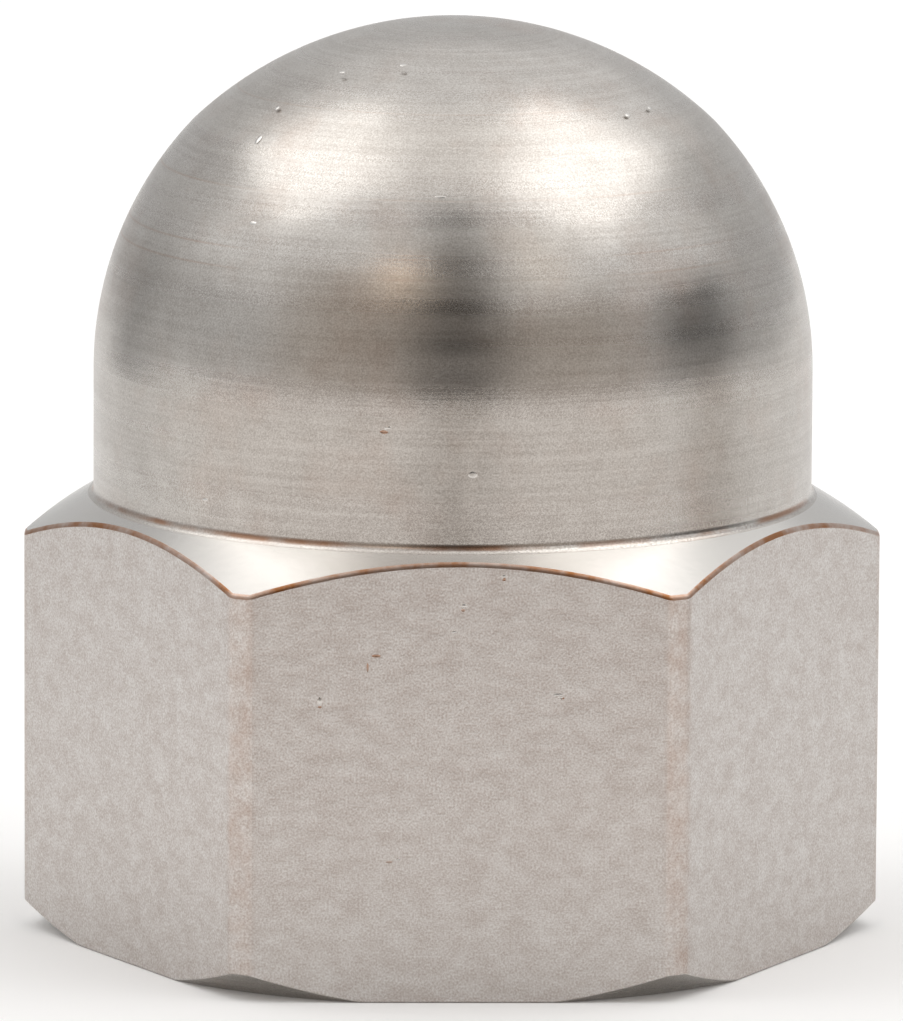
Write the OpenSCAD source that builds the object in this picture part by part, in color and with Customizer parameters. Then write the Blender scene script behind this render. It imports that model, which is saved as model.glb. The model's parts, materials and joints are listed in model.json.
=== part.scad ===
// Domed cap nut that holds an impeller on its shaft, turned in one piece from hexagon bar.
// Millimetres, +Z along the thread's axis towards the dome, origin at the centre of the bearing
// face. Two of the six wrench flats face -Y and +Y, so two corners lie on the X axis.

/* [Hexagon] */
// Distance across the wrench flats
across_flats = 19; // [18.8:0.1:20.5]
// Diameter that the six corners are turned down to
corner_d = 21.65; // [20.8:0.05:23.5]
// Height of the hexagon at the middle of a flat
hex_h = 11; // [8:0.25:12]

/* [Chamfers] */
// Slope of the upper chamfer above the horizontal, in degrees
top_chamfer_angle = 32; // [20:1:40]
// Slope of the lower chamfer above the horizontal, in degrees
foot_chamfer_angle = 33; // [15:1:45]
// How far the bearing face's round rim stands outside the flats; less than 0 cuts into them
foot_rim = 0.25; // [-0.45:0.1:0.75]

/* [Dome] */
// Height from the bearing face to the top of the dome
height = 23.25; // [22:0.25:28]
// Diameter of the short cylinder under the dome, and of the ball that rounds it off
dome_d = 18.15; // [17:0.05:18.5]
// Radius of the flatter crown that tops the dome
crown_r = 9.55; // [9.4:0.05:12]
// How far the crown stands below the top of the full ball
crown_drop = 0.2; // [0.1:0.05:1]
// Radius of the fillet between the upper chamfer and the cylinder
root_r = 0.3; // [0.1:0.05:0.5]

/* [Threaded hole] */
// Nominal diameter of the thread
thread_d = 12; // [10:1:14]
// Pitch of the thread
thread_pitch = 1.75; // [1:0.25:2]
// Thickness of metal left in the crown above the tip of the drill
crown_wall = 2.7; // [1.5:0.1:6]
// Point angle of the drill that leaves the hole's blind end, in degrees
drill_point_angle = 118; // [110:1:140]
// How far the countersink's mouth stands outside the thread all round
countersink_lip = 0.3; // [0.1:0.05:0.6]
// Full angle of the countersink, in degrees
countersink_angle = 120; // [90:5:130]

/* [Hidden] */
$fn = 180;
// How far a cutting tool runs past the surface that it enters
overrun = 1;
// How far the root fillet dips into the two faces that it joins, so that it crosses them cleanly
fillet_dip = 0.001;
// Number of wrench flats
flats = 6;

corner_r = corner_d / 2;
foot_r = across_flats / 2 + foot_rim;
dome_r = dome_d / 2;

// Heights at which the lower and the upper chamfer run out onto the turned corners
foot_chamfer_z = (corner_r - foot_r) * tan(foot_chamfer_angle);
top_chamfer_z = hex_h - (corner_r - across_flats / 2) * tan(top_chamfer_angle);

// Corner where the upper chamfer would meet the cylinder, and the fillet that fills it
root = [dome_r, hex_h + (across_flats / 2 - dome_r) * tan(top_chamfer_angle)];
root_offset = root_r - fillet_dip;
root_reach = root_offset * tan((90 - top_chamfer_angle) / 2);

// Height at which the cylinder ends and the ball begins, and centre of the crown's arc
dome_z = height + crown_drop - dome_r;
crown_z = height - crown_r;

// Radii and heights of the hole, whose wall is the thread's minor diameter
hole_r = (thread_d - 1.0825 * thread_pitch) / 2;
mouth_r = thread_d / 2 + countersink_lip;
countersink_z = (mouth_r - hole_r) / tan(countersink_angle / 2);
drill_tip_z = height - crown_wall;
hole_top_z = drill_tip_z - hole_r / tan(drill_point_angle / 2);

// Half section of the turned body, from the bearing face to the top of the short cylinder
module body_section() {
    polygon([
        [0, 0],
        [foot_r, 0],
        [corner_r, foot_chamfer_z],
        [corner_r, top_chamfer_z],
        root,
        [dome_r, dome_z],
        [0, dome_z]
    ]);
}

// Half section of the dome: a ball as wide as the cylinder, topped by the flatter crown
module dome_section() {
    intersection() {
        translate([0, dome_z]) circle(dome_r);
        translate([0, crown_z]) circle(crown_r);
        translate([0, dome_z]) square([dome_r + overrun, height]);
    }
}

// Half section of the fillet at the foot of the cylinder
module root_fillet_section() {
    centre = root + [root_offset, root_reach];
    on_cylinder = root + [0, root_reach];
    on_chamfer = root + root_reach * [cos(top_chamfer_angle), -sin(top_chamfer_angle)];
    in_body = root - [root_r, root_r];
    difference() {
        polygon([in_body, on_chamfer, centre, on_cylinder]);
        translate(centre) circle(root_r);
    }
}

// The bar as the lathe leaves it, round all over
module turned_blank() {
    rotate_extrude() {
        body_section();
        dome_section();
        root_fillet_section();
    }
}

// What the mill takes off to leave the wrench flats, kept below the cylinder
module wrench_flat_cuts() {
    for (i = [0 : flats - 1])
        rotate(90 + i * 360 / flats)
            translate([across_flats / 2, -corner_r, -overrun])
                cube([corner_r, corner_d, root[1] + overrun]);
}

// Blind hole with a countersunk mouth and a drilled end, at the thread's minor diameter
module thread_hole() {
    overrun_r = mouth_r + overrun * tan(countersink_angle / 2);
    rotate_extrude()
        polygon([
            [0, -overrun],
            [overrun_r, -overrun],
            [hole_r, countersink_z],
            [hole_r, hole_top_z],
            [0, drill_tip_z]
        ]);
}

module impeller_nut() {
    color([0.72, 0.70, 0.68])
        difference() {
            turned_blank();
            wrench_flat_cuts();
            thread_hole();
        }
}

impeller_nut();
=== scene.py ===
"""Makes the finished look of a domed cap nut for an impeller shaft, its stage and its camera."""

import json
import math

import bmesh
import bpy
from mathutils import Matrix, Vector


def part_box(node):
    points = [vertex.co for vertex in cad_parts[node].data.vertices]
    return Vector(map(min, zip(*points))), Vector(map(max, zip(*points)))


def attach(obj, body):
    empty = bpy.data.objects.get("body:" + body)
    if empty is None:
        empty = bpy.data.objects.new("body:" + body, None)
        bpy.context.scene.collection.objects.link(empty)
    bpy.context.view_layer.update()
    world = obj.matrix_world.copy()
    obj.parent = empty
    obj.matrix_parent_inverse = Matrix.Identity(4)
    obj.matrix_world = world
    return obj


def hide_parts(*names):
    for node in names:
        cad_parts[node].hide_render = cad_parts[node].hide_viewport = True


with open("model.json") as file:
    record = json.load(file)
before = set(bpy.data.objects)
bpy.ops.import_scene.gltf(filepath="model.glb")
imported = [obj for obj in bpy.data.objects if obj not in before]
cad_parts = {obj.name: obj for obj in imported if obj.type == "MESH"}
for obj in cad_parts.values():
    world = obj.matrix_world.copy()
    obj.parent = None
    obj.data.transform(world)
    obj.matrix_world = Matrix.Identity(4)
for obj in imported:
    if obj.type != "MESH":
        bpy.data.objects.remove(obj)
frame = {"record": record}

bl_info = {
    "name": "Impeller Nut",
    "version": (1, 0, 0),
    "blender": (4, 5, 0),
    "location": "3D View > Sidebar > Impeller Nut",
    "description": "Builds a turned stainless steel cap nut and the stage that it stands on",
    "category": "Add Mesh",
}

NODE = "impeller_nut"
MM = 0.001
BOX_LOW, BOX_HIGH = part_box(NODE)
THREAD = next(m for m in frame["record"]["mounts"] if m["name"] == "thread")
# Vertices closer than this are one vertex
WELD = 0.1e-6
FLATS = 6
# An outside edge that turns more than the first is broken, and any that turns less than the
# second is shaded smooth
BROKEN_ABOVE = math.radians(15)
SMOOTH_BELOW = math.radians(20)
# Deeper tool marks, in degrees from the top of the dome, and half the width of one
TOOL_RINGS = (37.2, 54.3, 64.2, 67.5)
RING_HALF = 0.0254 * MM
# Small specks and pits of the finished surface: place, half width, half height and rise in mm.
# A pit's rise is negative. No two of a kind may touch.
# Each is a ball whose centre is set back from the surface by this share of its rise.
SET_BACK = 0.3
MARKS = (
    ((-3.44, -9.5, 7.58), 0.07, 0.11, 0.035), ((-3.44, -9.5, 7.43), 0.05, 0.03, -0.015),
    ((0.09, -9.5, 9.97), 0.11, 0.05, 0.03), ((0.07, -9.5, 9.85), 0.05, 0.04, -0.015),
    ((1.07, -9.5, 10.70), 0.10, 0.04, 0.025), ((1.07, -9.5, 10.61), 0.05, 0.03, -0.012),
    ((-0.15, -9.5, 9.31), 0.10, 0.03, 0.02), ((-2.06, -9.5, 8.71), 0.12, 0.04, -0.025),
    ((-2.27, -9.5, 8.42), 0.03, 0.12, -0.008), ((-1.72, -9.5, 3.55), 0.09, 0.03, -0.02),
    ((-1.50, -9.5, 3.62), 0.06, 0.04, 0.025), ((2.49, -9.5, 7.66), 0.09, 0.03, -0.02),
    ((2.42, -9.5, 7.75), 0.14, 0.03, 0.015),
    ((-4.96, -4.16, 20.74), 0.08, 0.14, 0.025), ((-4.49, -3.49, 21.45), 0.07, 0.07, 0.01),
    ((-1.36, -3.68, 22.56), 0.09, 0.06, 0.006), ((-2.87, -3.30, 22.33), 0.09, 0.05, 0.006),
    ((-0.50, -7.28, 19.77), 0.14, 0.04, 0.007), ((-5.09, -5.98, 18.92), 0.12, 0.05, 0.012),
    ((4.22, -3.97, 21.36), 0.08, 0.06, 0.006), ((4.80, -3.12, 21.42), 0.07, 0.06, 0.006),
    ((-1.88, -8.88, 14.18), 0.12, 0.05, -0.025), ((-1.80, -8.90, 14.29), 0.09, 0.04, 0.015),
    ((0.30, -9.07, 13.15), 0.12, 0.08, 0.008), ((-6.26, -6.57, 12.09), 0.10, 0.04, 0.012),
)


# ---------------------------------------------------------------- sizes and colours


def length(name, description, default):
    """A size in metres, which the sidebar shows in scene units."""
    return bpy.props.FloatProperty(
        name=name, description=description, default=default, unit="LENGTH", precision=5
    )


def angle(name, description, degrees):
    return bpy.props.FloatProperty(
        name=name, description=description, default=math.radians(degrees), subtype="ANGLE"
    )


def colour(name, description, hexcode):
    """A colour that is written as sRGB hex and kept as linear light."""
    return bpy.props.FloatVectorProperty(
        name=name, description=description, default=linear(hexcode), subtype="COLOR",
        size=3, min=0, max=1,
    )


def linear(hexcode):
    """sRGB hex such as "8c8c8c" as linear red, green and blue."""
    parts = [int(hexcode[i:i + 2], 16) / 255 for i in (0, 2, 4)]
    return [c / 12.92 if c <= 0.04045 else ((c + 0.055) / 1.055) ** 2.4 for c in parts]


class NutSizes(bpy.types.PropertyGroup):
    """Sizes of the nut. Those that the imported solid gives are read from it."""

    across_flats: length(
        "Across flats", "Distance across the wrench flats", BOX_HIGH.y - BOX_LOW.y)
    corner_diameter: length(
        "Corner diameter", "Diameter that the corners are turned to", BOX_HIGH.x - BOX_LOW.x)
    height: length("Height", "Bearing face to the top of the dome", BOX_HIGH.z - BOX_LOW.z)
    hexagon_height: length("Hexagon height", "Height of a flat at its middle", 11 * MM)
    top_chamfer: angle("Upper chamfer", "Slope of the upper chamfer", 32)
    foot_chamfer: angle("Lower chamfer", "Slope of the lower chamfer", 33)
    foot_rim: length("Foot rim", "How far the bearing face's rim is outside the flats", 0.25 * MM)
    dome_diameter: length("Dome diameter", "Diameter of the cylinder and ball", 18.15 * MM)
    crown_radius: length("Crown radius", "Radius of the flatter crown", 9.55 * MM)
    crown_drop: length("Crown drop", "How far the crown is below the full ball", 0.2 * MM)
    root_radius: length("Root radius", "Fillet at the foot of the cylinder", 0.3 * MM)
    thread_diameter: length("Thread diameter", "Major diameter of the thread", 12 * MM)
    thread_pitch: length("Thread pitch", "Rise of the thread in one turn", 1.75 * MM)
    minor_radius: length("Minor radius", "Radius of the drilled wall", THREAD["dims"]["r_mm"] * MM)
    countersink_lip: length("Countersink lip", "Mouth outside the thread", 0.3 * MM)
    countersink: angle("Countersink", "Full angle of the countersink", 120)
    drill_point: angle("Drill point", "Full angle of the hole's end", 118)
    crown_wall: length("Crown wall", "Metal left above the tip of the drill", 2.7 * MM)
    edge_break: length(
        "Edge break", "Rounding of the upper and upright edges, up to 0.088 mm", 0.08 * MM)
    foot_break: length("Foot break", "Rounding of the lower chamfer's edges", 0.035 * MM)


class NutFinish(bpy.types.PropertyGroup):
    """Colours of the metal and of the stage."""

    turned: colour("Turned steel", "The dome and the cylinder", "c9c5c0")
    turned_dull: colour("Dull turned steel", "Grain and tool lines in them", "a8a29c")
    drawn: colour("Drawn steel", "The flats of the bar", "d5d2cf")
    stain: colour("Stain", "Brownish film in the grain of the flats", "b6aca6")
    chamfer: colour("Chamfer", "The smooth upper chamfer", "cbc8c4")
    edge_tint: colour("Edge tint", "Thin brown line on the upper edges and in the root", "9a6944")
    bore: colour("Bore", "The cut thread and drilled end", "a8a39d")
    floor: colour("Floor", "The pale floor", "f6f6f6")


# ---------------------------------------------------------------- small tools


def deselect_all():
    if bpy.context.object and bpy.context.object.mode != "OBJECT":
        bpy.ops.object.mode_set(mode="OBJECT")
    bpy.ops.object.select_all(action="DESELECT")


def make_active(obj):
    deselect_all()
    obj.select_set(True)
    bpy.context.view_layer.objects.active = obj


def edit(obj, mode="VERT"):
    make_active(obj)
    bpy.ops.object.mode_set(mode="EDIT")
    bpy.ops.mesh.select_mode(type=mode)


def leave_edit():
    bpy.ops.object.mode_set(mode="OBJECT")


def apply_modifier(obj, kind, **settings):
    """Adds one modifier with its settings and applies it."""
    make_active(obj)
    modifier = obj.modifiers.new(kind.title(), kind)
    for key, value in settings.items():
        setattr(modifier, key, value)
    bpy.ops.object.modifier_apply(modifier=modifier.name)


def start_profile(name, place):
    """A new mesh that is one selected vertex at place, left in edit mode."""
    deselect_all()
    bpy.ops.mesh.primitive_plane_add(size=MM, location=place)
    obj = bpy.context.object
    obj.name = name
    bpy.ops.object.transform_apply(location=True, rotation=True, scale=True)
    edit(obj)
    bpy.ops.mesh.select_all(action="SELECT")
    bpy.ops.mesh.merge(type="CENTER")
    return obj


def draw_line(a, b):
    """Extrudes the selected vertex, which is at a, to b. Both are (radius, height)."""
    bpy.ops.mesh.extrude_region_move(
        TRANSFORM_OT_translate={"value": (b[0] - a[0], 0, b[1] - a[1])})


def spin(steps, turn, centre=(0, 0, 0), axis=(0, 0, 1)):
    """Sweeps the selection right-handed round an axis. The operator itself turns left-handed."""
    bpy.ops.mesh.spin(steps=steps, angle=-turn, center=centre, axis=axis)


def draw_arc(centre, turn, steps):
    """Sweeps the selected vertex round centre. A positive turn goes from +Z towards +X."""
    spin(steps, turn, centre=(centre[0], 0, centre[1]), axis=(0, 1, 0))


def clean_shell(obj):
    """Welds the seams and points every face outwards."""
    edit(obj)
    bpy.ops.mesh.select_all(action="SELECT")
    bpy.ops.mesh.remove_doubles(threshold=WELD)
    bpy.ops.mesh.dissolve_degenerate(threshold=WELD)
    bpy.ops.mesh.normals_make_consistent(inside=False)
    leave_edit()


# ---------------------------------------------------------------- the nut


class NutForm:
    """Radii and heights that follow from the driving sizes."""

    def __init__(self, sizes):
        self.flat_r = sizes.across_flats / 2
        self.corner_r = sizes.corner_diameter / 2
        self.foot_r = self.flat_r + sizes.foot_rim
        self.dome_r = sizes.dome_diameter / 2
        self.foot_z = (self.corner_r - self.foot_r) * math.tan(sizes.foot_chamfer)
        self.shoulder_z = (
            sizes.hexagon_height - (self.corner_r - self.flat_r) * math.tan(sizes.top_chamfer))
        self.root_z = (
            sizes.hexagon_height + (self.flat_r - self.dome_r) * math.tan(sizes.top_chamfer))
        self.root_reach = sizes.root_radius * math.tan((math.pi / 2 - sizes.top_chamfer) / 2)
        # Where the fillet's arc leaves the chamfer
        self.chamfer_top_z = self.root_z - self.root_reach * math.sin(sizes.top_chamfer)
        self.dome_z = sizes.height + sizes.crown_drop - self.dome_r
        self.crown_z = sizes.height - sizes.crown_radius
        # Where the crown's arc meets the ball's
        rise = self.dome_z - self.crown_z
        above = (sizes.crown_radius ** 2 - self.dome_r ** 2 - rise ** 2) / (2 * rise)
        self.edge_r = math.sqrt(self.dome_r ** 2 - above ** 2)
        self.edge_z = self.dome_z + above
        self.mouth_r = sizes.thread_diameter / 2 + sizes.countersink_lip
        self.countersink_z = (self.mouth_r - sizes.minor_radius) / math.tan(sizes.countersink / 2)
        self.tip_z = sizes.height - sizes.crown_wall
        self.hole_top_z = self.tip_z - sizes.minor_radius / math.tan(sizes.drill_point / 2)


def turn_blank(sizes, form):
    """Draws the half section of the drilled blank and spins it round the thread's axis."""
    hole_r = sizes.minor_radius
    on_chamfer = (
        form.dome_r + form.root_reach * math.cos(sizes.top_chamfer),
        form.chamfer_top_z,
    )
    root_centre = (form.dome_r + sizes.root_radius, form.root_z + form.root_reach)
    corners = [
        (0, form.tip_z), (hole_r, form.hole_top_z), (hole_r, form.countersink_z),
        (form.mouth_r, 0), (form.foot_r, 0), (form.corner_r, form.foot_z),
        (form.corner_r, form.shoulder_z), on_chamfer,
    ]
    nut = start_profile("cap_nut", (0, 0, form.tip_z))
    for a, b in zip(corners, corners[1:]):
        draw_line(a, b)
    draw_arc(root_centre, math.pi / 2 - sizes.top_chamfer, steps=6)
    draw_line((form.dome_r, root_centre[1]), (form.dome_r, form.dome_z))
    ball_turn = math.asin((form.edge_z - form.dome_z) / form.dome_r)
    draw_arc((0, form.dome_z), -ball_turn, steps=28)
    draw_arc((0, form.crown_z), -math.asin(form.edge_r / sizes.crown_radius), steps=32)
    bpy.ops.mesh.select_all(action="SELECT")
    # Every third degree has a section, so that none falls on a land beside its edge
    spin(120, math.tau)
    leave_edit()
    clean_shell(nut)
    return nut


def mill_flats(nut, form):
    """Cuts the six wrench flats, each closed by one face."""
    for i in range(FLATS):
        turn = math.pi / 2 + i * math.tau / FLATS
        outwards = Vector((math.cos(turn), math.sin(turn), 0))
        edit(nut)
        bpy.ops.mesh.select_all(action="SELECT")
        bpy.ops.mesh.bisect(
            plane_co=outwards * form.flat_r, plane_no=outwards,
            use_fill=True, clear_outer=True, threshold=WELD)
        leave_edit()
    clean_shell(nut)


def break_edges(nut, sizes, form):
    """Rounds the edges round the flats a little, less where the lower chamfer is narrow."""
    mesh = nut.data
    weight = mesh.attributes.new("bevel_weight_edge", "FLOAT", "EDGE")
    fine = sizes.foot_break / sizes.edge_break
    bm = bmesh.new()
    bm.from_mesh(mesh)
    for e in bm.edges:
        outside = all(math.hypot(v.co.x, v.co.y) > form.mouth_r - WELD for v in e.verts)
        sharp = len(e.link_faces) == 2 and e.calc_face_angle_signed() > BROKEN_ABOVE
        if not (outside and sharp):
            continue
        low = max(v.co.z for v in e.verts) < form.foot_z + WELD
        straight_foot = all(
            v.co.z < WELD and math.hypot(v.co.x, v.co.y) < form.foot_r - WELD for v in e.verts)
        weight.data[e.index].value = fine if low and not straight_foot else 1
    bm.free()
    apply_modifier(
        nut, "BEVEL", limit_method="WEIGHT", width=sizes.edge_break, segments=3,
        use_clamp_overlap=False, material=EDGE, harden_normals=False)
    stop_smoothing(nut, EDGE)


def stop_smoothing(nut, slot):
    """Ends smooth shading at the border of a finish, so that wide faces beside it stay true."""
    edit(nut, "FACE")
    bpy.ops.mesh.select_all(action="DESELECT")
    nut.active_material_index = slot
    bpy.ops.object.material_slot_select()
    bpy.ops.mesh.region_to_loop()
    bpy.ops.mesh.mark_sharp()
    leave_edit()


def cut_thread(nut, sizes, form):
    """Cuts a right-hand thread in the bore with a groove swept along a helix."""
    pitch = sizes.thread_pitch
    # The cutter starts inside the open bore, clear of its wall
    inner, outer = sizes.minor_radius - 0.1 * MM, sizes.thread_diameter / 2
    # Half widths of the groove: 3/8 of the pitch at the wall and 1/16 at its bottom
    slope = (3 / 8 - 1 / 16) * pitch / (outer - sizes.minor_radius)
    wide = 1 / 16 * pitch + slope * (outer - inner)
    narrow = pitch / 16
    z = -pitch
    cutter = start_profile("thread_groove", (inner, 0, z - wide))
    corners = [(inner, z - wide), (outer, z - narrow), (outer, z + narrow), (inner, z + wide)]
    for a, b in zip(corners, corners[1:] + corners[:1]):
        draw_line(a, b)
    bpy.ops.mesh.select_all(action="SELECT")
    bpy.ops.mesh.remove_doubles(threshold=WELD)
    leave_edit()
    turns = int((form.hole_top_z - z) / pitch) - 1
    apply_modifier(
        cutter, "SCREW", axis="Z", angle=math.tau, screw_offset=pitch, iterations=turns,
        steps=72, render_steps=72, use_merge_vertices=False, use_smooth_shade=False)
    edit(cutter, "EDGE")
    bpy.ops.mesh.select_all(action="DESELECT")
    bpy.ops.mesh.select_non_manifold()
    bpy.ops.mesh.edge_face_add()
    leave_edit()
    clean_shell(cutter)
    apply_modifier(nut, "BOOLEAN", operation="DIFFERENCE", object=cutter, solver="EXACT")
    bpy.data.objects.remove(cutter)


def outwards_at(place, form):
    """Direction out of the metal at a place on the dome, the cylinder or a flat."""
    if place.z > form.dome_z:
        return (place - Vector((0, 0, form.dome_z))).normalized()
    if place.z > form.root_z:
        return Vector((place.x, place.y, 0)).normalized()
    step = math.tau / FLATS
    turn = math.pi / 2 + step * round((math.atan2(place.y, place.x) - math.pi / 2) / step)
    return Vector((math.cos(turn), math.sin(turn), 0))


def add_marks(nut, form):
    """Joins the specks to the nut and cuts its pits, with flattened balls for both."""
    for operation, sign in (("DIFFERENCE", -1), ("UNION", 1)):
        balls = []
        for place, width, tall, rise in MARKS:
            if rise * sign < 0:
                continue
            deselect_all()
            place = Vector(place) * MM
            outwards = outwards_at(place, form)
            # Set back, so that no ring of the ball lies in a flat
            bpy.ops.mesh.primitive_uv_sphere_add(
                segments=16, ring_count=8, radius=MM,
                location=place - outwards * SET_BACK * rise * MM)
            ball = bpy.context.object
            ball.scale = (width, tall, abs(rise))
            ball.rotation_euler = outwards.to_track_quat("Z", "Y").to_euler()
            balls.append(ball)
        for ball in balls:
            ball.select_set(True)
        bpy.ops.object.join()
        tool = bpy.context.object
        bpy.ops.object.transform_apply(location=True, rotation=True, scale=True)
        apply_modifier(nut, "BOOLEAN", operation=operation, object=tool, solver="EXACT")
        bpy.data.objects.remove(tool)


# Material slots on the nut
TURNED, CUT, DRAWN, EDGE, BORE, SPECK = range(6)


def sort_faces(nut, form):
    """Gives each face the finish that its surface was made with."""
    # The upper roundings get the brown film with painted shade, and the upright and lower ones
    # don't
    lowest_tint = form.shoulder_z - 0.1 * MM
    for face in nut.data.polygons:
        c = face.center
        r = math.hypot(c.x, c.y)
        if face.material_index == EDGE and lowest_tint < c.z < form.root_z:
            continue
        upright = abs(face.normal.z) < 0.01 and c.z < form.root_z
        if r < form.mouth_r and c.z < form.tip_z + WELD:
            face.material_index = BORE
        elif face.material_index == EDGE or upright and r > form.flat_r - WELD:
            face.material_index = DRAWN
        elif form.foot_z < c.z < form.chamfer_top_z:
            face.material_index = CUT
        else:
            face.material_index = TURNED
        for place, width, tall, rise in MARKS:
            reach = max(width, tall) * MM
            if (c - Vector(place) * MM).length < reach and face.area < reach ** 2:
                face.material_index = EDGE if rise < 0 else SPECK


class NUT_OT_build_nut(bpy.types.Operator):
    """Build the cap nut: turned blank, milled flats, rounded edges and cut thread"""

    bl_idname = "impeller.build_nut"
    bl_label = "Cap Nut"

    def execute(self, context):
        sizes, finish = context.scene.nut_sizes, context.scene.nut_finish
        form = NutForm(sizes)
        nut = turn_blank(sizes, form)
        mill_flats(nut, form)
        smooth = cut_steel(finish)
        for material in (
            turned_steel(finish, form), smooth, drawn_steel(finish, form), film_and_edge_shade_steel(finish),
            threaded_steel(finish), smooth,
        ):
            nut.data.materials.append(material)
        break_edges(nut, sizes, form)
        cut_thread(nut, sizes, form)
        clean_shell(nut)
        add_marks(nut, form)
        sort_faces(nut, form)
        stop_smoothing(nut, EDGE)
        stop_smoothing(nut, SPECK)
        make_active(nut)
        bpy.ops.object.shade_smooth_by_angle(angle=SMOOTH_BELOW)
        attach(nut, "root")
        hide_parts(NODE)
        return {"FINISHED"}


# ---------------------------------------------------------------- materials


def add(tree, kind, settings=None, links=None):
    """Adds a node, sets its properties and sockets, and links nodes or their outputs to it."""
    node = tree.nodes.new(kind)
    for key, value in (settings or {}).items():
        if isinstance(key, str) and hasattr(node, key):
            setattr(node, key, value)
        else:
            node.inputs[key].default_value = value
    for key, source in (links or {}).items():
        output = source if isinstance(source, bpy.types.NodeSocket) else source.outputs[0]
        tree.links.new(output, node.inputs[key])
    return node


def new_material(name):
    material = bpy.data.materials.new(name)
    material.use_nodes = True
    material.node_tree.nodes.clear()
    return material, material.node_tree


def turned_steel(finish, form):
    """Stainless steel from a lathe: fine lines run round the axis and pull highlights tall."""
    material, tree = new_material("Turned stainless steel")
    place = add(tree, "ShaderNodeTexCoord").outputs["Object"]
    height = add(tree, "ShaderNodeSeparateXYZ", {}, {0: place}).outputs["Z"]
    level = add(tree, "ShaderNodeMapping", {"Scale": (1, 1, 0)}, {"Vector": place})
    across = add(
        tree, "ShaderNodeVectorMath", {"operation": "LENGTH"}, {0: level}).outputs["Value"]
    above = add(tree, "ShaderNodeMath", {"operation": "SUBTRACT", 1: form.dome_z}, {0: height})
    polar = add(tree, "ShaderNodeMath", {"operation": "ARCTAN2"}, {0: across, 1: above})
    # Way down the dome, with a little of the way round it so that a tool line fades and ends
    down = add(tree, "ShaderNodeMath", {"operation": "MULTIPLY", 1: form.dome_r}, {0: polar})
    down = add(tree, "ShaderNodeCombineXYZ", {}, {"Z": down})
    aside = add(tree, "ShaderNodeMapping", {"Scale": (0.02, 0.02, 0)}, {"Vector": place})
    path = add(tree, "ShaderNodeVectorMath", {"operation": "ADD"}, {0: down, 1: aside})

    # Lines at a finishing feed of 0.1 mm, in bands as the tool wears and wanders
    lines = add(
        tree, "ShaderNodeTexNoise", {"Scale": 1 / (0.1 * MM), "Detail": 2.0}, {"Vector": path})
    bands = add(
        tree, "ShaderNodeTexNoise", {"Scale": 1 / (0.8 * MM), "Detail": 1.0}, {"Vector": path})
    clouds = add(
        tree, "ShaderNodeTexNoise", {"Scale": 1 / (0.7 * MM), "Detail": 4.0}, {"Vector": place})
    # The steel's grain is about 0.02 mm, too fine to show, and is drawn twice as coarse
    grain = add(
        tree, "ShaderNodeTexNoise", {"Scale": 1 / (0.04 * MM), "Detail": 1.0}, {"Vector": place})

    shade = add(
        tree, "ShaderNodeMath", {"operation": "MULTIPLY", 1: 0.18}, {0: clouds})
    shade = add(
        tree, "ShaderNodeMath", {"operation": "MULTIPLY_ADD", 1: 0.2}, {0: lines, 2: shade})
    shade = add(
        tree, "ShaderNodeMath", {"operation": "MULTIPLY_ADD", 1: 0.62}, {0: grain, 2: shade})
    shade = add(
        tree, "ShaderNodeMapRange", {"From Min": 0.36, "From Max": 0.64}, {"Value": shade})
    tint = add(
        tree, "ShaderNodeMix",
        {"data_type": "RGBA", 6: (*finish.turned_dull, 1), 7: (*finish.turned, 1)}, {0: shade})

    # Deeper tool marks, broken where the band noise is low
    marks = bands
    for degrees in TOOL_RINGS:
        mark = add(
            tree, "ShaderNodeMath",
            {"operation": "COMPARE", 1: math.radians(degrees), 2: RING_HALF / form.dome_r},
            {0: polar})
        marks = add(tree, "ShaderNodeMath", {"operation": "MAXIMUM"}, {0: mark, 1: marks})
    marks = add(tree, "ShaderNodeMapRange", {"From Min": 0.9, "From Max": 1.0}, {"Value": marks})
    broken = add(
        tree, "ShaderNodeTexNoise", {"Scale": 1 / (5 * MM), "Detail": 2.0}, {"Vector": place})
    broken = add(
        tree, "ShaderNodeMapRange", {"From Min": 0.4, "From Max": 0.65, "To Max": 0.2},
        {"Value": broken})
    marks = add(tree, "ShaderNodeMath", {"operation": "MULTIPLY"}, {0: marks, 1: broken})
    tint = add(
        tree, "ShaderNodeMix", {"data_type": "RGBA", 7: (*finish.edge_tint, 1)},
        {0: marks, 6: tint.outputs[2]})

    # Faint stains that the wash left
    stains = add(
        tree, "ShaderNodeTexNoise", {"Scale": 1 / (2.6 * MM), "Detail": 5.0, "Roughness": 0.6},
        {"Vector": place})
    stains = add(
        tree, "ShaderNodeMapRange", {"From Min": 0.5, "From Max": 0.75, "To Max": 0.18},
        {"Value": stains})
    tint = add(
        tree, "ShaderNodeMix", {"data_type": "RGBA", 7: (*finish.edge_tint, 1)},
        {0: stains, 6: tint.outputs[2]})

    # A brown film in the root where the cylinder meets the chamfer
    off_root = add(
        tree, "ShaderNodeMath", {"operation": "SUBTRACT", 1: form.root_z + 0.06 * MM},
        {0: height})
    off_root = add(tree, "ShaderNodeMath", {"operation": "ABSOLUTE"}, {0: off_root})
    root = add(
        tree, "ShaderNodeMapRange", {"From Min": 0.09 * MM, "From Max": 0.03 * MM},
        {"Value": off_root})
    patches = add(
        tree, "ShaderNodeTexNoise", {"Scale": 1 / (2.2 * MM), "Detail": 3.0}, {"Vector": place})
    patches = add(
        tree, "ShaderNodeMapRange", {"From Min": 0.45, "From Max": 0.62, "To Max": 0.75},
        {"Value": patches})
    root = add(tree, "ShaderNodeMath", {"operation": "MULTIPLY"}, {0: root, 1: patches})
    tint = add(
        tree, "ShaderNodeMix", {"data_type": "RGBA", 7: (*finish.edge_tint, 1)},
        {0: root, 6: tint.outputs[2]})

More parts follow.
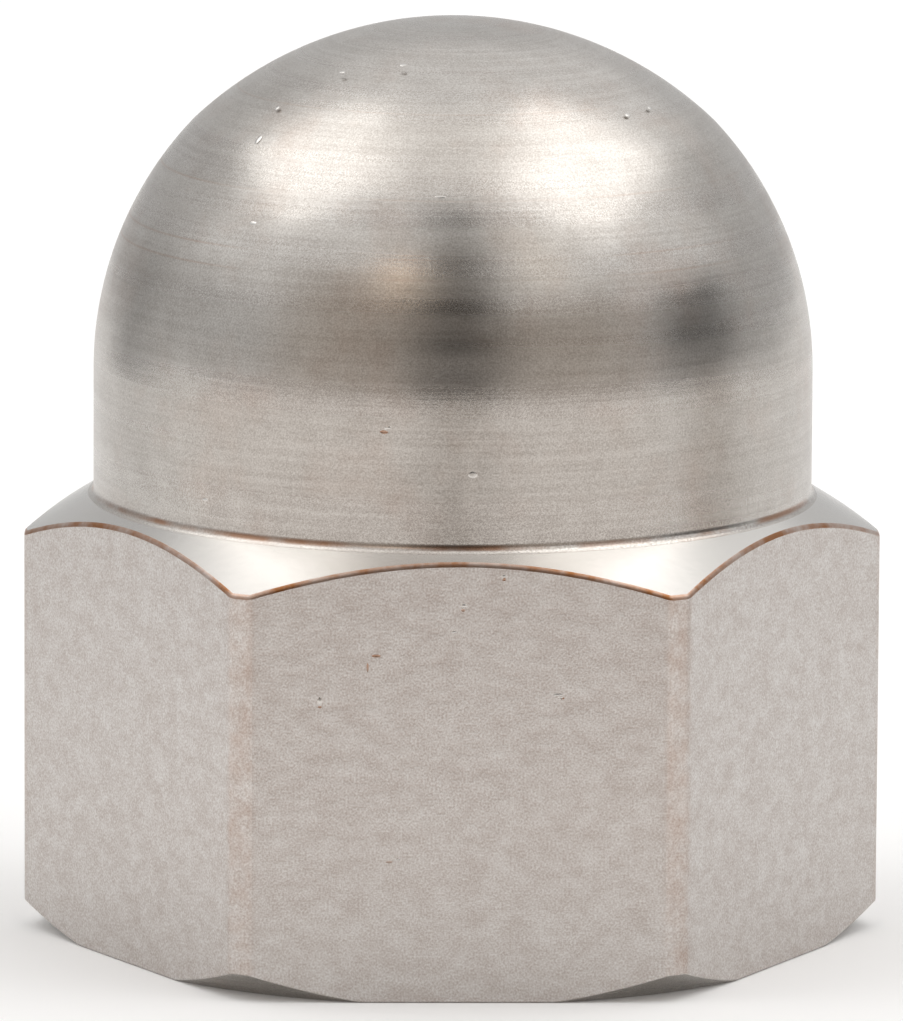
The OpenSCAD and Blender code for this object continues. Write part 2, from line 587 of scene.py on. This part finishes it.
    normal = add(
        tree, "ShaderNodeBump", {"Strength": 1.0, "Distance": 0.0017 * MM}, {"Height": lines})
    normal = add(
        tree, "ShaderNodeBump", {"Strength": 1.0, "Distance": 0.0014 * MM},
        {"Height": grain, "Normal": normal})
    normal = add(
        tree, "ShaderNodeBump", {"Strength": 1.0, "Distance": 0.005 * MM},
        {"Height": clouds, "Normal": normal})
    rough = add(
        tree, "ShaderNodeMapRange",
        {"From Min": 0.3, "From Max": 0.7, "To Min": 0.24, "To Max": 0.32}, {"Value": bands})
    tangent = add(tree, "ShaderNodeTangent", {"direction_type": "RADIAL", "axis": "Z"})
    metal = add(
        tree, "ShaderNodeBsdfPrincipled", {"Metallic": 1.0, "Anisotropic": 0.4},
        {"Base Color": tint.outputs[2], "Normal": normal, "Roughness": rough,
         "Tangent": tangent})
    add(tree, "ShaderNodeOutputMaterial", {}, {"Surface": metal})
    return material


def cut_steel(finish):
    """Stainless steel under a form tool: a smooth, brighter face with the faintest grain."""
    material, tree = new_material("Smooth cut stainless steel")
    place = add(tree, "ShaderNodeTexCoord").outputs["Object"]
    clouds = add(
        tree, "ShaderNodeTexNoise", {"Scale": 1 / (0.3 * MM), "Detail": 3.0}, {"Vector": place})
    normal = add(
        tree, "ShaderNodeBump", {"Strength": 1.0, "Distance": 0.002 * MM}, {"Height": clouds})
    metal = add(
        tree, "ShaderNodeBsdfPrincipled",
        {"Metallic": 1.0, "Roughness": 0.25, "Base Color": (*finish.chamfer, 1)},
        {"Normal": normal})
    add(tree, "ShaderNodeOutputMaterial", {}, {"Surface": metal})
    return material


def drawn_steel(finish, form):
    """Cold-drawn stainless bar after tumbling: dull, with cloudy brownish film and fine grain."""
    material, tree = new_material("Drawn stainless steel")
    place = add(tree, "ShaderNodeTexCoord").outputs["Object"]
    # The bar's clouds are wider than they are tall
    flattened = add(tree, "ShaderNodeMapping", {"Scale": (1, 1, 1.5)}, {"Vector": place})
    clouds = add(
        tree, "ShaderNodeTexNoise",
        {"Scale": 1 / (0.6 * MM), "Detail": 5.0, "Roughness": 0.65}, {"Vector": flattened})
    # Tumbling leaves dents of about 0.02 mm, too fine to show, drawn at 0.05 mm
    grain = add(
        tree, "ShaderNodeTexNoise", {"Scale": 1 / (0.05 * MM), "Detail": 1.0}, {"Vector": place})
    film = add(
        tree, "ShaderNodeMath", {"operation": "MULTIPLY", 1: 0.38}, {0: clouds})
    film = add(
        tree, "ShaderNodeMath", {"operation": "MULTIPLY_ADD", 1: 0.62}, {0: grain, 2: film})
    film = add(
        tree, "ShaderNodeMapRange",
        {"From Min": 0.36, "From Max": 0.64, "To Min": 1.0, "To Max": 0.0}, {"Value": film})
    # The narrow lands on the corners hold more of the film
    level = add(tree, "ShaderNodeMapping", {"Scale": (1, 1, 0)}, {"Vector": place})
    across = add(
        tree, "ShaderNodeVectorMath", {"operation": "LENGTH"}, {0: level}).outputs["Value"]
    land = add(
        tree, "ShaderNodeMapRange",
        {"From Min": form.corner_r - 0.1 * MM, "From Max": form.corner_r - 0.02 * MM},
        {"Value": across})
    worn = add(
        tree, "ShaderNodeTexNoise", {"Scale": 1 / (0.5 * MM), "Detail": 4.0}, {"Vector": place})
    worn = add(
        tree, "ShaderNodeMapRange", {"From Min": 0.35, "From Max": 0.7, "To Max": 0.24},
        {"Value": worn})
    land = add(tree, "ShaderNodeMath", {"operation": "MULTIPLY"}, {0: land, 1: worn})
    tint = add(
        tree, "ShaderNodeMix",
        {"data_type": "RGBA", 6: (*finish.drawn, 1), 7: (*finish.stain, 1)}, {0: film})
    tint = add(
        tree, "ShaderNodeMix", {"data_type": "RGBA", 7: (*finish.edge_tint, 1)},
        {0: land, 6: tint.outputs[2]})
    normal = add(
        tree, "ShaderNodeBump", {"Strength": 1.0, "Distance": 0.003 * MM}, {"Height": grain})
    normal = add(
        tree, "ShaderNodeBump", {"Strength": 1.0, "Distance": 0.01 * MM},
        {"Height": clouds, "Normal": normal})
    metal = add(
        tree, "ShaderNodeBsdfPrincipled", {"Metallic": 1.0, "Roughness": 0.4},
        {"Base Color": tint.outputs[2], "Normal": normal})
    add(tree, "ShaderNodeOutputMaterial", {}, {"Surface": metal})
    return material


def film_and_edge_shade_steel(finish):
    """Edge between a cut chamfer and a flat: smoothed by tumbling, with a brown line that is
    partly film and partly painted shade.
    """
    material, tree = new_material("Stainless steel edge with film and painted shade")
    place = add(tree, "ShaderNodeTexCoord").outputs["Object"]
    patches = add(
        tree, "ShaderNodeTexNoise", {"Scale": 1 / (1.6 * MM), "Detail": 5.0, "Roughness": 0.7},
        {"Vector": place})
    patches = add(
        tree, "ShaderNodeMapRange", {"From Min": 0.35, "From Max": 0.6, "To Min": 0.4},
        {"Value": patches})
    # Partly painted shade: the mix towards dark brown also stands for the dark surroundings that
    # an upper rounding reflects
    tint = add(
        tree, "ShaderNodeMix",
        {"data_type": "RGBA", 6: (*finish.drawn, 1), 7: (*finish.edge_tint, 1)}, {0: patches})
    metal = add(
        tree, "ShaderNodeBsdfPrincipled", {"Metallic": 1.0, "Roughness": 0.35},
        {"Base Color": tint.outputs[2]})
    add(tree, "ShaderNodeOutputMaterial", {}, {"Surface": metal})
    return material


def threaded_steel(finish):
    """Stainless steel that a tap has cut: bright flanks with fine drag lines."""
    material, tree = new_material("Tapped stainless steel")
    place = add(tree, "ShaderNodeTexCoord").outputs["Object"]
    # Lines of 0.05 mm that run round the bore
    drag = add(tree, "ShaderNodeMapping", {"Scale": (1, 1, 4)}, {"Vector": place})
    lines = add(
        tree, "ShaderNodeTexNoise", {"Scale": 1 / (0.2 * MM), "Detail": 2.0}, {"Vector": drag})
    normal = add(
        tree, "ShaderNodeBump", {"Strength": 1.0, "Distance": 0.004 * MM}, {"Height": lines})
    metal = add(
        tree, "ShaderNodeBsdfPrincipled",
        {"Metallic": 1.0, "Roughness": 0.28, "Base Color": (*finish.bore, 1)},
        {"Normal": normal})
    add(tree, "ShaderNodeOutputMaterial", {}, {"Surface": metal})
    return material


# ---------------------------------------------------------------- the stage


def direction(azimuth, elevation):
    """Unit vector from the nut. Azimuth 0 is towards -Y and 90 towards +X, in degrees."""
    a, e = math.radians(azimuth), math.radians(elevation)
    return Vector((math.sin(a) * math.cos(e), -math.cos(a) * math.cos(e), math.sin(e)))


def add_softbox(name, azimuth, elevation, distance, width, tall, radiance, tint):
    """A soft rectangular lamp that faces the nut, given by how bright it looks."""
    deselect_all()
    bpy.ops.object.light_add(type="AREA")
    lamp = bpy.context.object
    lamp.name = name
    lamp.location = direction(azimuth, elevation) * distance
    lamp.rotation_mode = "QUATERNION"
    lamp.rotation_quaternion = lamp.location.to_track_quat("Z", "Y")
    lamp.data.shape = "RECTANGLE"
    lamp.data.size, lamp.data.size_y = width, tall
    lamp.data.energy = radiance * math.pi * width * tall
    lamp.data.color = tint
    lamp.visible_camera = False


def glowing_card_material(name, grey, tint=(1, 1, 1)):
    """A card that glows at an even grey, though it is no lamp: painted light that stands for a lit
    card as the metal reflects it.
    """
    material, tree = new_material(name)
    shader = add(
        tree, "ShaderNodeEmission",
        {"Color": (*[grey * t for t in tint], 1), "Strength": 1.0})
    add(tree, "ShaderNodeOutputMaterial", {}, {"Surface": shader})
    return material


def add_card(name, material, start, end, a, b):
    """A card round the nut between two azimuths. Its section is a line between two places,
    each (radius, height)."""
    card = start_profile(name, (a[0], 0, a[1]))
    draw_line(a, b)
    bpy.ops.mesh.select_all(action="SELECT")
    spin(max(2, (end - start) // 3), math.radians(end - start))
    leave_edit()
    card.rotation_euler.z = math.radians(start - 90)
    card.data.materials.append(material)
    card.visible_camera = False


def upright(distance, low, high):
    """The two ends of an upright card's section, from one elevation to another."""
    return [(distance, distance * math.tan(math.radians(e))) for e in (low, high)]


def add_floor(finish):
    """A pale floor under the bearing face, open from below so that the foot can be seen."""
    deselect_all()
    bpy.ops.mesh.primitive_plane_add(size=6, location=(0, 0, 0))
    floor = bpy.context.object
    floor.name = "floor"
    material, tree = new_material("Pale floor")
    paint = add(tree, "ShaderNodeBsdfDiffuse", {"Color": (*finish.floor, 1)})
    # A share of even light keeps the shadow soft
    even = add(tree, "ShaderNodeEmission", {"Color": (1, 1, 1, 1), "Strength": 1.0})
    paint = add(tree, "ShaderNodeMixShader", {0: 0.05}, {1: paint, 2: even})
    clear = add(tree, "ShaderNodeBsdfTransparent")
    side = add(tree, "ShaderNodeNewGeometry").outputs["Backfacing"]
    both = add(tree, "ShaderNodeMixShader", {}, {0: side, 1: paint, 2: clear})
    add(tree, "ShaderNodeOutputMaterial", {}, {"Surface": both})
    floor.data.materials.append(material)


def add_camera():
    """A long lens in front of the nut and a little above it."""
    heading, tilt, roll = (math.radians(v) for v in (1.2558, 9.773, 0.3001))
    forwards = Vector((
        math.sin(heading) * math.cos(tilt), math.cos(heading) * math.cos(tilt), -math.sin(tilt)))
    level = Vector((math.cos(heading), -math.sin(heading), 0))
    square = level.cross(forwards)
    right = math.cos(roll) * level + math.sin(roll) * square
    up = math.cos(roll) * square - math.sin(roll) * level
    deselect_all()
    bpy.ops.object.camera_add(location=(-6.6 * MM, -300.093 * MM, 62.402 * MM))
    camera = bpy.context.object
    camera.rotation_euler = Matrix((right, up, -forwards)).transposed().to_euler()
    camera.data.sensor_fit = "VERTICAL"
    camera.data.sensor_height = 36
    camera.data.sensor_width = 36
    camera.data.lens = 424.508
    camera.data.clip_start = 0.01
    bpy.context.scene.camera = camera


def set_world():
    world = bpy.data.worlds.new("Studio")
    bpy.context.scene.world = world
    world.use_nodes = True
    background = world.node_tree.nodes["Background"]
    background.inputs["Color"].default_value = (1, 1, 1, 1)
    background.inputs["Strength"].default_value = 1.0


class NUT_OT_build_stage(bpy.types.Operator):
    """Build the floor, the glowing grey cards, the soft lamps, the world and the camera"""

    bl_idname = "impeller.build_stage"
    bl_label = "Stage"

    def execute(self, context):
        add_floor(context.scene.nut_finish)
        set_world()
        warm = (1.0, 0.9, 0.81)
        front = glowing_card_material("Front card", 0.52, warm)
        add_card("wall_front", front, -60, 16, *upright(0.8, -0.5, 35))
        add_card("wall_front_right", front, 16, 60, *upright(0.8, -0.5, 28))
        side = glowing_card_material("Side wall card", 0.63)
        add_card("wall_left", side, -112, -60, *upright(0.8, -0.5, 21.5))
        far = glowing_card_material("Far wall card", 0.6)
        add_card("wall_far_left", far, -160, -130, *upright(0.8, -0.5, 43))
        add_card("wall_back_left", side, -130, -112, *upright(0.8, -0.5, 39))
        add_card("wall_right", side, 60, 110, *upright(0.8, -0.5, 19))
        add_card("wall_back_right", side, 110, 135, *upright(0.8, -0.5, 38))
        back = glowing_card_material("Back card", 0.66)
        add_card("wall_back", back, 135, 168, *upright(0.8, 1, 27))
        add_card("wall_behind", back, 168, 200, *upright(0.8, 1, 38))
        dark = glowing_card_material("Dark card", 0.02)
        add_card("camera_card", dark, -14, 14, *upright(0.76, -2, 34))
        add_card("stand_card", dark, -11, 12, *upright(0.76, 34, 63))
        stand = glowing_card_material("Side card", 0.1)
        add_card("side_card", stand, 70, 101, *upright(0.76, -0.5, 21))
        left = glowing_card_material("Left card", 0.35)
        add_card("left_card", left, -135, -119, *upright(0.76, -0.5, 15))
        # Painted highlights: two small cards glow warm, to put warm highlights on the dome
        painted_highlight_spot = glowing_card_material("Warm card", 2.2, (1.0, 0.8, 0.6))
        add_card("warm_card", painted_highlight_spot, -27, -17, *upright(0.74, 32, 42))
        glow = glowing_card_material("Pale warm card", 1.3, (1.0, 0.94, 0.87))
        add_card("warm_card_right", glow, 24, 42, *upright(0.74, 32, 52))
        # Sheets that lie on the floor before the nut. They glow as painted light of a lit floor
        # that the metal reflects, and the shaded ones are painted shade of that floor
        paper = glowing_card_material("Paper", 1.17, (1.0, 0.96, 0.93))
        add_card("near_paper", paper, -90, 66, (0.02, 0.3 * MM), (0.08, 0.3 * MM))
        far_paper = glowing_card_material("Far paper", 1.05, (1.0, 0.96, 0.93))
        add_card("far_paper", far_paper, -85, 66, (0.08, 0.3 * MM), (0.7, 0.3 * MM))
        shade = glowing_card_material("Shaded paper", 0.72, (1.0, 0.93, 0.87))
        add_card("camera_shade", shade, -8, 8, (0.05, 0.6 * MM), (0.7, 0.6 * MM))
        add_card("side_shade", shade, 78, 96, (0.05, 0.6 * MM), (0.7, 0.6 * MM))
        far_shade = glowing_card_material("Far shaded paper", 0.45)
        add_card("left_shade", far_shade, -138, -110, (0.12, 0.6 * MM), (0.7, 0.6 * MM))
        add_card("right_shade", far_shade, 110, 126, (0.25, 0.6 * MM), (0.7, 0.6 * MM))
        add_softbox("softbox_left", -101, 58, 0.9, 0.66, 0.5, 1.28, (1.0, 0.985, 0.96))
        add_softbox("softbox_right", 91, 60, 0.9, 0.8, 0.52, 1.42, (1.0, 0.985, 0.965))
        add_softbox("softbox_top", 0, 84, 1.2, 0.9, 0.9, 0.12, (1.0, 0.8, 0.6))
        add_camera()
        context.scene.view_settings.view_transform = "Standard"
        return {"FINISHED"}


class NUT_PT_panel(bpy.types.Panel):
    """Lists the steps in the order that they are run"""

    bl_label = "Impeller Nut"
    bl_idname = "NUT_PT_panel"
    bl_space_type = "VIEW_3D"
    bl_region_type = "UI"
    bl_category = "Impeller Nut"

    def draw(self, context):
        layout = self.layout
        for group in (context.scene.nut_sizes, context.scene.nut_finish):
            column = layout.column()
            for key in group.__annotations__:
                column.prop(group, key)
        for step in STEPS:
            layout.operator(step.bl_idname)


STEPS = (NUT_OT_build_nut, NUT_OT_build_stage)
CLASSES = (NutSizes, NutFinish, *STEPS, NUT_PT_panel)


def register():
    for cls in CLASSES:
        bpy.utils.register_class(cls)
    bpy.types.Scene.nut_sizes = bpy.props.PointerProperty(type=NutSizes)
    bpy.types.Scene.nut_finish = bpy.props.PointerProperty(type=NutFinish)


def unregister():
    del bpy.types.Scene.nut_finish
    del bpy.types.Scene.nut_sizes
    for cls in reversed(CLASSES):
        bpy.utils.unregister_class(cls)


def main():
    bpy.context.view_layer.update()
    register()
    bpy.ops.impeller.build_nut()
    bpy.ops.impeller.build_stage()


if __name__ == "__main__":
    main()
